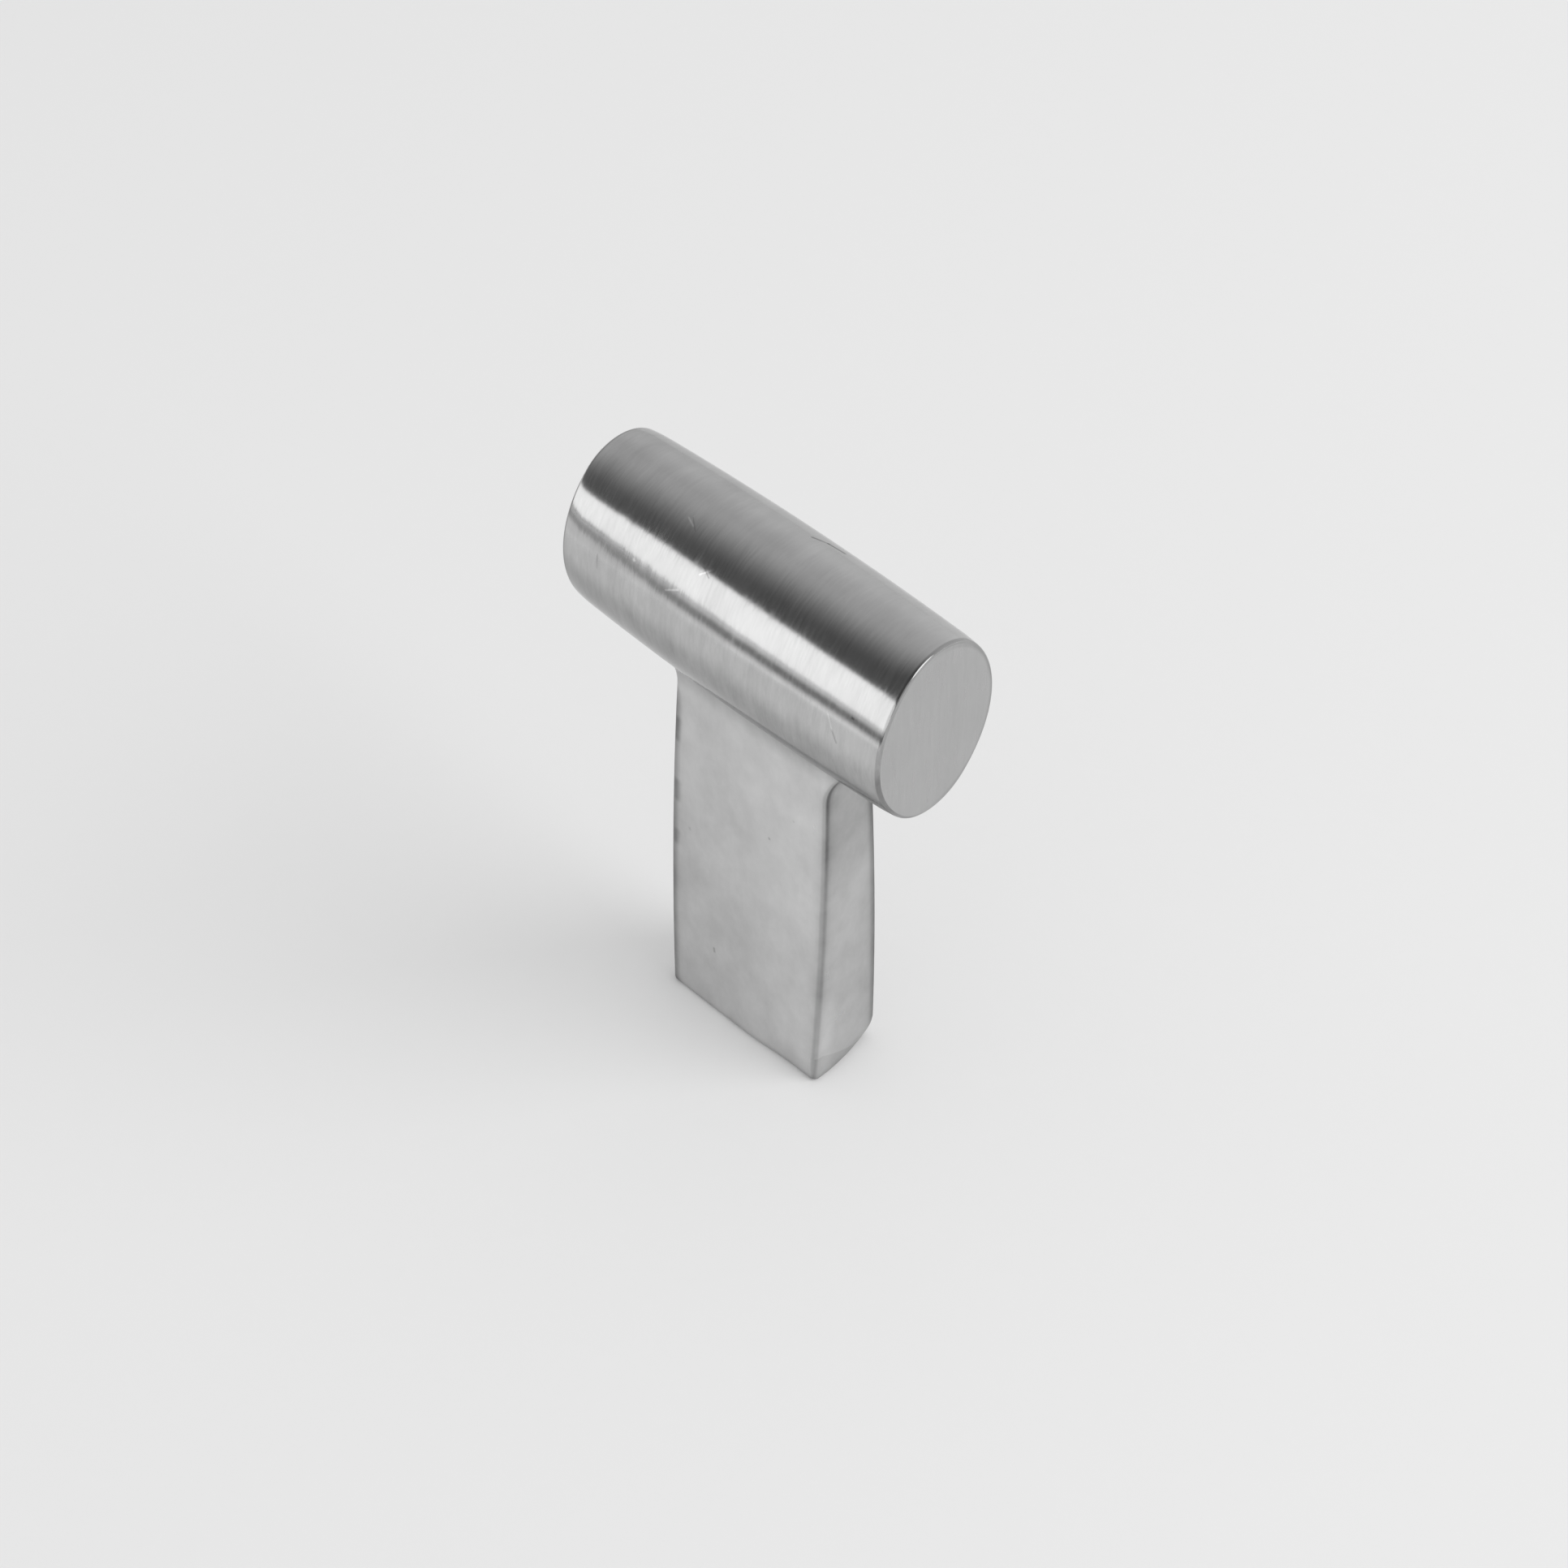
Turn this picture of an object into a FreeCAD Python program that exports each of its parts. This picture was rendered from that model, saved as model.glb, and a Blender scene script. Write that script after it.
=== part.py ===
"""T-shaped cabinet knob, cast and polished as one piece of metal.

A crowned bar of oval section lies on top of a flat stem. The stem stands on its
foot, which is drawn up against a cabinet front by one screw in a tapped hole.

Frame: +Z up the stem, +X along the bar, origin in the middle of the foot's face.
All sizes are in millimetres.
"""
import FreeCAD, Part
import math
import os
import Sketcher

os.makedirs("parts", exist_ok=True)

# Driving dimensions, one value each.
SIZES = [
    ("bar_length", 32.0, "length of the bar over both end faces"),
    ("bar_width", 12.7, "bar across its axis, level, at the middle"),
    ("bar_depth", 16.5, "bar across its axis, upright, at the middle"),
    ("cap_radius", 5.0, "radius of the bar's oval at its top and bottom"),
    ("crown_radius", 350.0, "bow of the bar's outline from end to end"),
    ("end_roll_length", 1.6, "last stretch at each end, which bows more"),
    ("end_roll_radius", 13.0, "bow of that last stretch"),
    ("rim_chamfer", 0.2, "broken edge round each end face"),
    ("axis_height", 43.0, "height of the bar's axis over the foot"),
    ("foot_width", 16.8, "stem along the bar, at the foot"),
    ("neck_width", 16.2, "stem along the bar, at the bar's axis"),
    ("foot_thick", 7.2, "stem across the bar, at the foot"),
    ("neck_thick", 4.4, "stem across the bar, at the bar's axis"),
    ("side_radius", 18.0, "bulge of the stem's two narrow sides"),
    ("corner_radius", 0.6, "rounding of the stem's four upright corners"),
    ("foot_round", 0.45, "rounding of the edge round the foot"),
    ("neck_fillet", 1.6, "fillet between the stem and the bar"),
    ("tap_bore", 3.3, "bore of the tapped hole for an M4 screw, at its crests"),
    ("tap_depth", 16.0, "depth of the tapped hole at its full bore"),
    ("mouth_width", 4.4, "width of the countersunk mouth of the hole"),
    ("drill_angle", 118.0, "angle of the drill point at the hole's end"),
]

document = FreeCAD.newDocument("cabinet_knob")
sheet = document.addObject("Spreadsheet::Sheet", "sizes")
for row, (alias, value, note) in enumerate(SIZES, start=1):
    sheet.set("A%d" % row, alias)
    sheet.set("B%d" % row, str(value))
    sheet.set("C%d" % row, note)
    sheet.setAlias("B%d" % row, alias)
document.recompute()

# Sizes that follow from the driving dimensions, as formulas of them.
HALF_LENGTH = "(sizes.bar_length / 2)"
HALF_WIDTH = "(sizes.bar_width / 2)"
# The oval has four arcs: two caps and two flanks, each tangent to its neighbours.
CAP_OFFSET = "(sizes.bar_depth / 2 - sizes.cap_radius)"
FLANK_RADIUS = "((%s ^ 2 - sizes.cap_radius ^ 2 + %s ^ 2) / (2 * (%s - sizes.cap_radius)))" % (
    HALF_WIDTH, CAP_OFFSET, HALF_WIDTH)
FLANK_OFFSET = "(%s - %s)" % (FLANK_RADIUS, HALF_WIDTH)
CAP_ANGLE = "(2 * atan(%s / %s))" % (FLANK_OFFSET, CAP_OFFSET)
DRILL_POINT = "(sizes.tap_bore / 2 / tan(sizes.drill_angle / 2 * 1 deg))"

START, END, CENTRE = range(1, 4)
ORIGIN = (-1, 1)
LEVEL_AXIS, UPRIGHT_AXIS = range(-1, -3, -1)


def number(formula):
    """What a formula of the driving dimensions comes to."""
    return float(sheet.evalExpression(formula))


def origin_plane(body, role):
    """One of the body's own origin planes."""
    return next(f for f in body.Origin.OriginFeatures if f.Role == role)


def new_sketch(body, name, role):
    """An empty sketch on an origin plane."""
    sketch = body.newObject("Sketcher::SketchObject", name)
    sketch.AttachmentSupport = (origin_plane(body, role), [""])
    sketch.MapMode = "FlatFace"
    return sketch


def tie(sketch, kind, *references):
    """A relation between pieces of a sketch."""
    sketch.addConstraint(Sketcher.Constraint(kind, *references))


def bind(sketch, kind, references, formula):
    """A sketch dimension that follows a formula of the driving dimensions."""
    index = sketch.addConstraint(Sketcher.Constraint(kind, *references, number(formula)))
    sketch.renameConstraint(index, "size_%d" % index)
    sketch.setExpression("Constraints.size_%d" % index, formula)


def arc(centre_x, centre_y, radius, start, end):
    """A sketch arc, counter-clockwise between two angles in radians."""
    circle = Part.Circle(FreeCAD.Vector(centre_x, centre_y, 0), FreeCAD.Vector(0, 0, 1), radius)
    return Part.ArcOfCircle(circle, start, end)


def segment(start_x, start_y, end_x, end_y):
    """A straight sketch line."""
    return Part.LineSegment(FreeCAD.Vector(start_x, start_y, 0), FreeCAD.Vector(end_x, end_y, 0))


def stem_section(body, name, lift, width, thick):
    """Stem section: flat broad faces, bulging narrow sides, rounded corners."""
    sketch = new_sketch(body, name, "XY_Plane")
    sketch.setExpression("AttachmentOffset.Base.z", lift)
    side, corner = number("sizes.side_radius"), number("sizes.corner_radius")
    half_thick = number(thick + " / 2")
    side_x = number(width + " / 2") - side
    corner_y = half_thick - corner
    corner_x = side_x + math.sqrt((side - corner) ** 2 - corner_y ** 2)
    turn = math.atan2(corner_y, corner_x - side_x)
    right_angle = math.pi / 2
    sketch.addGeometry([
        arc(side_x, 0, side, -turn, turn),
        arc(corner_x, corner_y, corner, turn, right_angle),
        segment(corner_x, half_thick, -corner_x, half_thick),
        arc(-corner_x, corner_y, corner, right_angle, math.pi - turn),
        arc(-side_x, 0, side, math.pi - turn, math.pi + turn),
        arc(-corner_x, -corner_y, corner, math.pi + turn, 3 * right_angle),
        segment(-corner_x, -half_thick, corner_x, -half_thick),
        arc(corner_x, -corner_y, corner, 3 * right_angle, 2 * math.pi - turn),
    ], False)
    right_side, top_line, left_side, bottom_line = 0, 2, 4, 6
    first_corner, *other_corners = 1, 3, 5, 7
    for edge in range(8):
        tie(sketch, "Tangent", edge, END, (edge + 1) % 8, START)
    for line in (top_line, bottom_line):
        tie(sketch, "Horizontal", line)
    for curve in (right_side, left_side):
        tie(sketch, "PointOnObject", curve, CENTRE, LEVEL_AXIS)
    tie(sketch, "Equal", right_side, left_side)
    for curve in other_corners:
        tie(sketch, "Equal", first_corner, curve)
    inset = "sizes.side_radius - %s / 2" % width
    bind(sketch, "Radius", (right_side,), "sizes.side_radius")
    bind(sketch, "Radius", (first_corner,), "sizes.corner_radius")
    bind(sketch, "DistanceX", (right_side, CENTRE, *ORIGIN), inset)
    bind(sketch, "DistanceX", (*ORIGIN, left_side, CENTRE), inset)
    bind(sketch, "DistanceY", (*ORIGIN, top_line, START), thick + " / 2")
    bind(sketch, "DistanceY", (bottom_line, START, *ORIGIN), thick + " / 2")
    return sketch


def oval_wedge(body, name, turn, shift_y, shift_z, radius, angle):
    """One of the oval's four arcs carried along the crowned bar, as a wedge about its own axis.

    All four profiles fall by the same amount at each place along the bar, so the
    arcs stay tangent to each other from end to end.
    """
    sketch = new_sketch(body, name + "_profile", "XY_Plane")
    sketch.AttachmentOffset = FreeCAD.Placement(
        FreeCAD.Vector(), FreeCAD.Rotation(FreeCAD.Vector(1, 0, 0), turn))
    sketch.setExpression("AttachmentOffset.Base.y", shift_y)
    sketch.setExpression("AttachmentOffset.Base.z", shift_z)
    half, crown, roll = number(HALF_LENGTH), number("sizes.crown_radius"), number("sizes.end_roll_radius")
    joint_x = half - number("sizes.end_roll_length")
    lean = math.asin(joint_x / crown)
    crown_y = number(radius) - crown
    roll_x = joint_x - roll * math.sin(lean)
    roll_y = crown_y + (crown - roll) * math.cos(lean)
    rim_x = half - number("sizes.rim_chamfer")
    steep = math.asin((rim_x - roll_x) / roll)
    rim_y = roll_y + roll * math.cos(steep)
    wall_y = rim_y - number("sizes.rim_chamfer")
    upright = math.pi / 2
    sketch.addGeometry([
        segment(-half, 0, half, 0),
        segment(half, 0, half, wall_y),
        segment(half, wall_y, rim_x, rim_y),
        arc(roll_x, roll_y, roll, upright - steep, upright - lean),
        arc(0, crown_y, crown, upright - lean, upright + lean),
        arc(-roll_x, roll_y, roll, upright + lean, upright + steep),
        segment(-rim_x, rim_y, -half, wall_y),
        segment(-half, wall_y, -half, 0),
    ], False)
    axis_line, near_wall, near_rim, near_roll, crown_arc, far_roll, far_rim, far_wall = range(8)
    for before, after in ((axis_line, near_wall), (near_wall, near_rim), (near_rim, near_roll),
                          (far_roll, far_rim), (far_rim, far_wall), (far_wall, axis_line)):
        tie(sketch, "Coincident", before, END, after, START)
    for before, after in ((near_roll, crown_arc), (crown_arc, far_roll)):
        tie(sketch, "Tangent", before, END, after, START)
    for wall in (near_wall, far_wall):
        tie(sketch, "Vertical", wall)
    tie(sketch, "PointOnObject", axis_line, START, LEVEL_AXIS)
    tie(sketch, "PointOnObject", axis_line, END, LEVEL_AXIS)
    tie(sketch, "PointOnObject", crown_arc, CENTRE, UPRIGHT_AXIS)
    bind(sketch, "DistanceX", (*ORIGIN, axis_line, END), HALF_LENGTH)
    bind(sketch, "DistanceX", (axis_line, START, *ORIGIN), HALF_LENGTH)
    bind(sketch, "DistanceX", (*ORIGIN, crown_arc, START), HALF_LENGTH + " - sizes.end_roll_length")
    bind(sketch, "DistanceX", (crown_arc, END, *ORIGIN), HALF_LENGTH + " - sizes.end_roll_length")
    bind(sketch, "Radius", (crown_arc,), "sizes.crown_radius")
    for curve in (near_roll, far_roll):
        bind(sketch, "Radius", (curve,), "sizes.end_roll_radius")
    for high, low in (((near_rim, END), (near_rim, START)), ((far_rim, START), (far_rim, END))):
        bind(sketch, "DistanceY", (*low, *high), "sizes.rim_chamfer")
    bind(sketch, "DistanceX", (near_rim, END, near_rim, START), "sizes.rim_chamfer")
    bind(sketch, "DistanceX", (far_rim, END, far_rim, START), "sizes.rim_chamfer")
    bind(sketch, "DistanceY", (crown_arc, CENTRE, *ORIGIN), "sizes.crown_radius - " + radius)
    wedge = body.newObject("PartDesign::Revolution", name)
    wedge.Profile = sketch
    wedge.ReferenceAxis = (sketch, ["H_Axis"])
    wedge.Midplane = True
    wedge.setExpression("Angle", angle)
    return wedge


def fillet_edges(body, name, base, radius, chosen):
    """Rounds the edges of the solid so far that the chosen test picks."""
    names = ["Edge%d" % count for count, edge in enumerate(base.Shape.Edges, start=1) if chosen(edge)]
    if not names:
        raise RuntimeError("%s found no edge" % name)
    fillet = body.newObject("PartDesign::Fillet", name)
    fillet.Base = (base, names)
    fillet.setExpression("Radius", "sizes." + radius)
    return fillet


def edge_points(edge):
    """Nine points spread along an edge."""
    return edge.discretize(9)


knob = document.addObject("PartDesign::Body", "knob")
knob.Label = "knob"
knob.Placement = FreeCAD.Placement()

# The stem tapers from its foot up to the bar's axis.
foot_section = stem_section(knob, "foot_section", "0 mm", "sizes.foot_width", "sizes.foot_thick")
neck_section = stem_section(
    knob, "neck_section", "sizes.axis_height", "sizes.neck_width", "sizes.neck_thick")
stem = knob.newObject("PartDesign::AdditiveLoft", "stem")
stem.Profile = foot_section
stem.Sections = [neck_section]
stem.Ruled = True
document.recompute()

# The bar: two flanks and two caps.
for name, turn, shift_y, shift_z, radius, angle in (
    ("back_flank", 0, "-" + FLANK_OFFSET, "sizes.axis_height", FLANK_RADIUS, "180 deg - " + CAP_ANGLE),
    ("front_flank", 180, FLANK_OFFSET, "sizes.axis_height", FLANK_RADIUS, "180 deg - " + CAP_ANGLE),
    ("top_cap", 90, "0 mm", "sizes.axis_height + " + CAP_OFFSET, "sizes.cap_radius", CAP_ANGLE),
    ("bottom_cap", 270, "0 mm", "sizes.axis_height - " + CAP_OFFSET, "sizes.cap_radius", CAP_ANGLE),
):
    bar = oval_wedge(knob, name, turn, shift_y, shift_z, radius, angle)
    document.recompute()

TOLERANCE = 0.01
bar_bottom = number("sizes.axis_height - sizes.bar_depth / 2")
cap_radius = number("sizes.cap_radius")
stem_reach = number("max(sizes.foot_width; sizes.neck_width) / 2") + TOLERANCE


def at_neck(edge):
    """Edges where the stem runs into the bar."""
    return all(
        abs(p.x) < stem_reach and -TOLERANCE < p.z - bar_bottom < cap_radius
        for p in edge_points(edge))


def round_foot(edge):
    """The edges of the foot's face."""
    return all(abs(p.z) < TOLERANCE for p in edge_points(edge))


neck = fillet_edges(knob, "neck_fillet", bar, "neck_fillet", at_neck)
document.recompute()
foot = fillet_edges(knob, "foot_rounds", neck, "foot_round", round_foot)
document.recompute()
solid_volume = foot.Shape.Volume

# The tapped hole: half its section, turned about the stem's axis.
hole_sketch = new_sketch(knob, "hole_section", "XZ_Plane")
bore_radius, mouth_radius = number("sizes.tap_bore / 2"), number("sizes.mouth_width / 2")
tap_depth = number("sizes.tap_depth")
outline = [
    (0, 0),
    (mouth_radius, 0),
    (bore_radius, mouth_radius - bore_radius),
    (bore_radius, tap_depth),
    (0, tap_depth + number(DRILL_POINT)),
]
mouth_line, sink_line, wall_line, tip_line, axis_line = range(5)
for first, last in zip(outline, outline[1:] + outline[:1]):
    hole_sketch.addGeometry(segment(*first, *last), False)
for line in range(5):
    tie(hole_sketch, "Coincident", line, END, (line + 1) % 5, START)
tie(hole_sketch, "Coincident", mouth_line, START, *ORIGIN)
tie(hole_sketch, "Horizontal", mouth_line)
tie(hole_sketch, "Vertical", wall_line)
tie(hole_sketch, "Vertical", axis_line)
bind(hole_sketch, "DistanceX", (mouth_line, START, mouth_line, END), "sizes.mouth_width / 2")
bind(hole_sketch, "DistanceX", (axis_line, END, wall_line, START), "sizes.tap_bore / 2")
bind(hole_sketch, "DistanceY", (sink_line, START, sink_line, END), "(sizes.mouth_width - sizes.tap_bore) / 2")
bind(hole_sketch, "DistanceY", (mouth_line, START, wall_line, END), "sizes.tap_depth")
bind(hole_sketch, "DistanceY", (wall_line, END, tip_line, END), DRILL_POINT)
hole = knob.newObject("PartDesign::Groove", "tapped_hole")
hole.Profile = hole_sketch
hole.ReferenceAxis = (hole_sketch, ["V_Axis"])
hole.Angle = 360
knob.Tip = hole
document.recompute()

for item in document.Objects:
    if "Invalid" in item.State or "Error" in item.State:
        raise RuntimeError("%s did not build: %s" % (item.Name, item.State))
if knob.Shape.isNull() or not knob.Shape.isValid() or len(knob.Shape.Solids) != 1:
    raise RuntimeError("knob is not one valid solid")
if knob.Shape.Volume > solid_volume - math.pi * bore_radius ** 2 * tap_depth:
    raise RuntimeError("the tapped hole cut too little")

knob.Shape.exportStep("parts/%s.step" % knob.Label)
box = knob.Shape.BoundBox
print("knob %.2f x %.2f x %.2f mm, volume %.0f mm3, %d faces" % (
    box.XLength, box.YLength, box.ZLength, knob.Shape.Volume, len(knob.Shape.Faces)))
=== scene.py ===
"""T-shaped cabinet knob in brushed metal, dressed over its frame.

The knob is one closed skin: a crowned bar of oval section, a flat stem that
flows into it, a rounded foot and a threaded hole up the stem.  Lengths in the
settings are metres; the skin is worked out in millimetres.
"""
import math

import bpy
import numpy as np
from bpy.props import FloatProperty, FloatVectorProperty, PointerProperty
from mathutils import Matrix, Vector


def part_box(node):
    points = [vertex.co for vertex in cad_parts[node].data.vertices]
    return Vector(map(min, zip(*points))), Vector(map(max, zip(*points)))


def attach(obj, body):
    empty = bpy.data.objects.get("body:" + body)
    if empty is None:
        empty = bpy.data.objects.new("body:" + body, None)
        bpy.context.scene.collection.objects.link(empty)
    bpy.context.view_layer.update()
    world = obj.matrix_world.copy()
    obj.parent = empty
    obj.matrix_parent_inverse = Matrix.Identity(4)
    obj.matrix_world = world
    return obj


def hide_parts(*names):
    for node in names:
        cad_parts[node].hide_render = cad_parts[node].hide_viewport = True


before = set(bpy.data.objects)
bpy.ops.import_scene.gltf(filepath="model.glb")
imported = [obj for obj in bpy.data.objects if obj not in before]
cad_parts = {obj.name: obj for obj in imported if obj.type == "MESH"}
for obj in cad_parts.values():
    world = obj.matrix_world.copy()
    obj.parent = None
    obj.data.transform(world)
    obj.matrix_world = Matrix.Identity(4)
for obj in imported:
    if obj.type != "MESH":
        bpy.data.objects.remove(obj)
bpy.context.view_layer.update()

bl_info = {
    "name": "Cabinet knob",
    "version": (1, 0, 0),
    "blender": (4, 5, 0),
    "location": "View3D > Sidebar > Knob",
    "description": "Builds a t-shaped cabinet knob in brushed metal and the studio it stands in",
    "category": "Object",
}

MM = 0.001
low_corner, high_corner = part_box("knob")
BAR_DEPTH = 16.5 * MM


def length(name, text, default):
    """A length setting in metres."""
    return FloatProperty(name=name, description=text, default=default, unit="LENGTH", precision=5)


class KnobSizes(bpy.types.PropertyGroup):
    """The knob's shape."""
    bar_length: length("Bar length", "Over both end faces", high_corner[0] - low_corner[0])
    bar_width: length("Bar width", "Level, across the axis", high_corner[1] - low_corner[1])
    bar_depth: length("Bar depth", "Upright, across the axis", BAR_DEPTH)
    axis_height: length("Axis height", "Bar's axis over the foot", high_corner[2] - BAR_DEPTH / 2)
    cap_radius: length("Cap radius", "Radius of the oval at its top and bottom", 5.0 * MM)
    crown_radius: length("Crown radius", "Bow of the bar from end to end", 350.0 * MM)
    roll_length: length("Roll length", "Last stretch at each end, which bows more", 1.6 * MM)
    roll_radius: length("Roll radius", "Bow of that last stretch", 13.0 * MM)
    rim_radius: length("Rim radius", "Rounding round each end face", 0.28 * MM)
    foot_width: length("Foot width", "Stem along the bar, at the foot", 16.53 * MM)
    neck_width: length("Neck width", "Stem along the bar, at the bar's axis", 14.9 * MM)
    waist_bow: length("Waist bow", "How much wider the stem is half way up than if straight", 1.13 * MM)
    foot_thick: length("Foot thickness", "Stem across the bar, at the foot", 7.2 * MM)
    neck_thick: length("Neck thickness", "Stem across the bar, at the bar's axis", 4.4 * MM)
    side_radius: length("Side radius", "Bulge of the stem's narrow sides", 18.0 * MM)
    corner_radius: length("Corner radius", "Rounding of the stem's upright corners", 0.6 * MM)
    foot_round: length("Foot rounding", "Rounding of the edge round the foot", 0.45 * MM)
    neck_fillet: length("Neck fillet", "Fillet between stem and bar", 3.2 * MM)
    tap_bore: length("Tap bore", "Bore of the threaded hole at its crests", 3.3 * MM)
    tap_depth: length("Tap depth", "Depth of the threaded hole", 16.0 * MM)
    mouth_width: length("Mouth width", "Width of the hole's countersunk mouth", 4.4 * MM)
    thread_pitch: length("Thread pitch", "Rise of one turn of the thread", 0.7 * MM)
    thread_depth: length("Thread depth", "Crest to root", 0.35 * MM)
    facet_height: length("Facet height", "Polished facet at the foot's near corner", 3.0 * MM)
    side_cut: length("Side cut", "How far polishing took the narrow side in, mid foot", 0.45 * MM)
    front_cut: length("Front cut", "How far it took the broad side in, at the near corner", 0.32 * MM)


class KnobFinish(bpy.types.PropertyGroup):
    """The knob's metal."""
    metal: FloatVectorProperty(
        name="Metal", description="Colour of the bare metal", default=(0.56, 0.56, 0.56),
        subtype="COLOR", min=0, max=1)
    bar_gloss: FloatProperty(
        name="Bar roughness", description="Roughness of the brushed bar", default=0.12, min=0, max=1)
    stem_gloss: FloatProperty(
        name="Stem roughness", description="Roughness of the polished stem", default=0.3, min=0, max=1)


class KnobStage(bpy.types.PropertyGroup):
    """Floor, light and camera."""
    floor: FloatVectorProperty(
        name="Floor", description="Colour of the pale floor", default=(0.8, 0.8, 0.8),
        subtype="COLOR", min=0, max=1)
    sky: FloatProperty(name="Sky", description="Strength of the even light", default=0.79, min=0, max=10)
    lamp: FloatProperty(
        name="Lamp", description="Power of the softbox", default=6.6, min=0, max=1000, unit="POWER")
    focal: FloatProperty(
        name="Focal length", description="Camera lens in millimetres", default=77.54, min=1, max=500)


# Columns round the stem: in a quadrant, on its narrow side and on a corner.
QUADRANT, SIDE_STEPS, CORNER_STEPS = 52, 16, 12
COLUMNS = 4 * QUADRANT
COLUMN_TURN = np.arange(COLUMNS) / COLUMNS * 2 * math.pi
# Columns round the bar, and the length in millimetres between stations along it.
TURN_STEPS = 144
CROWN_STEP = 0.4
# Half the opening under the bar, in stations and in columns.
HOLE_HALF_X, HOLE_HALF_TURN = 32, 20
# Rows of points on the last stretch, the rim, the foot's rounding and the fillet.
ROLL_ROWS, RIM_ROWS, FOOT_ROWS, FILLET_ROWS = 13, 9, 8, 13
# How far out the rings of an end face and of the foot's face lie.
END_SHARES = np.array([0.994, 0.975, 0.9, 0.75, 0.5, 0.25])[:, None, None]
FOOT_SHARES = np.array([0.03, 0.2, 0.4, 0.6, 0.8, 0.97])[:, None, None]
# Radius in millimetres that the stem's corner keeps where the foot's rounding takes it in.
LEAST_CORNER = 0.05
DRILL_ANGLE = math.radians(118)
# Steps to one turn of the thread, and where it stops short of the hole's end and of its mouth.
THREAD_STEPS, THREAD_END, THREAD_START = 6, 0.15, 0.02


def bar_profile(sizes):
    """Stations from the middle of one end's rim to the other's: (x, fall of the outline).

    The outline is three circles run together: the crown, the roll of the last
    stretch and the rim.  On each, x = centre + radius sin(lean) and
    fall = -(centre + radius cos(lean)), with lean growing to a right angle.
    """
    half = sizes["bar_length"] / 2
    crown, roll, rim = sizes["crown_radius"], sizes["roll_radius"], sizes["rim_radius"]
    joint = half - sizes["roll_length"]
    lean = math.asin(joint / crown)
    roll_x = joint - roll * math.sin(lean)
    roll_y = (crown - roll) * math.cos(lean) - crown
    steep = math.asin((half - rim - roll_x) / (roll - rim))
    rim_y = roll_y + (roll - rim) * math.cos(steep)
    crown_steps = round(joint / CROWN_STEP)
    crown_x = np.arange(crown_steps + 1) * CROWN_STEP
    crown_x[-1] = joint
    roll_lean = np.linspace(lean, steep, ROLL_ROWS)[1:]
    rim_lean = np.linspace(steep, math.pi / 2, RIM_ROWS)[1:]
    x = np.concatenate([
        crown_x, roll_x + roll * np.sin(roll_lean), half - rim + rim * np.sin(rim_lean)])
    fall = np.concatenate([
        crown - np.sqrt(crown ** 2 - crown_x ** 2),
        -(roll_y + roll * np.cos(roll_lean)),
        -(rim_y + rim * np.cos(rim_lean))])
    return np.concatenate([-x[:0:-1], x]), np.concatenate([fall[:0:-1], fall])


def oval(sizes, turn, fall):
    """Point (y, z) of the bar's oval whose outward normal has the angle turn, fall inside it.

    The oval is four arcs: point = arc centre + (arc radius - fall) (cos turn, sin turn),
    with a cap above and below and a flank on each side.
    """
    half_width, half_depth, cap = sizes["bar_width"] / 2, sizes["bar_depth"] / 2, sizes["cap_radius"]
    cap_offset = half_depth - cap
    flank = (half_width ** 2 - cap ** 2 + cap_offset ** 2) / (2 * (half_width - cap))
    flank_offset = flank - half_width
    on_cap = np.abs(np.sin(turn)) > math.sin(math.atan2(cap_offset, flank_offset))
    radius = np.where(on_cap, cap, flank) - fall
    y = np.where(on_cap, 0, -flank_offset * np.sign(np.cos(turn))) + radius * np.cos(turn)
    z = np.where(on_cap, cap_offset * np.sign(np.sin(turn)), 0) + radius * np.sin(turn)
    return y, z


def bar_points(sizes, x, turn, fall):
    """Points of the bar at x, with the oval's normal angle turn."""
    y, z = oval(sizes, turn, fall)
    return np.stack(np.broadcast_arrays(x, y, sizes["axis_height"] + z), -1)


def loop_columns():
    """For each column round the stem: its place in a quadrant, and the signs of x and y there."""
    column = np.arange(COLUMNS)
    quadrant, place = column // QUADRANT, column % QUADRANT
    place = np.where(quadrant % 2 == 0, place, QUADRANT - place)
    sign_x = np.where((quadrant == 0) | (quadrant == 3), 1, -1)
    return place, sign_x, np.where(quadrant < 2, 1, -1)


def stem_halves(sizes, z):
    """Half the stem's width and half its thickness at height z.

    Both change in proportion to height, with a bow of 4 t (1 - t) added to the width.
    """
    t = z / sizes["axis_height"]
    width = (sizes["foot_width"] + (sizes["neck_width"] - sizes["foot_width"]) * t
             + sizes["waist_bow"] * 4 * t * (1 - t))
    thick = sizes["foot_thick"] + (sizes["neck_thick"] - sizes["foot_thick"]) * t
    return width / 2, thick / 2


def stem_centres(sizes, half_width, half_thick, corner):
    """Centre x of the narrow side's arc, and centre x and y of the corner's arc, which is tangent to it."""
    side = sizes["side_radius"]
    side_x = half_width - side
    corner_y = half_thick - corner
    return side_x, side_x + np.sqrt((side - corner) ** 2 - corner_y ** 2), corner_y


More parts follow.
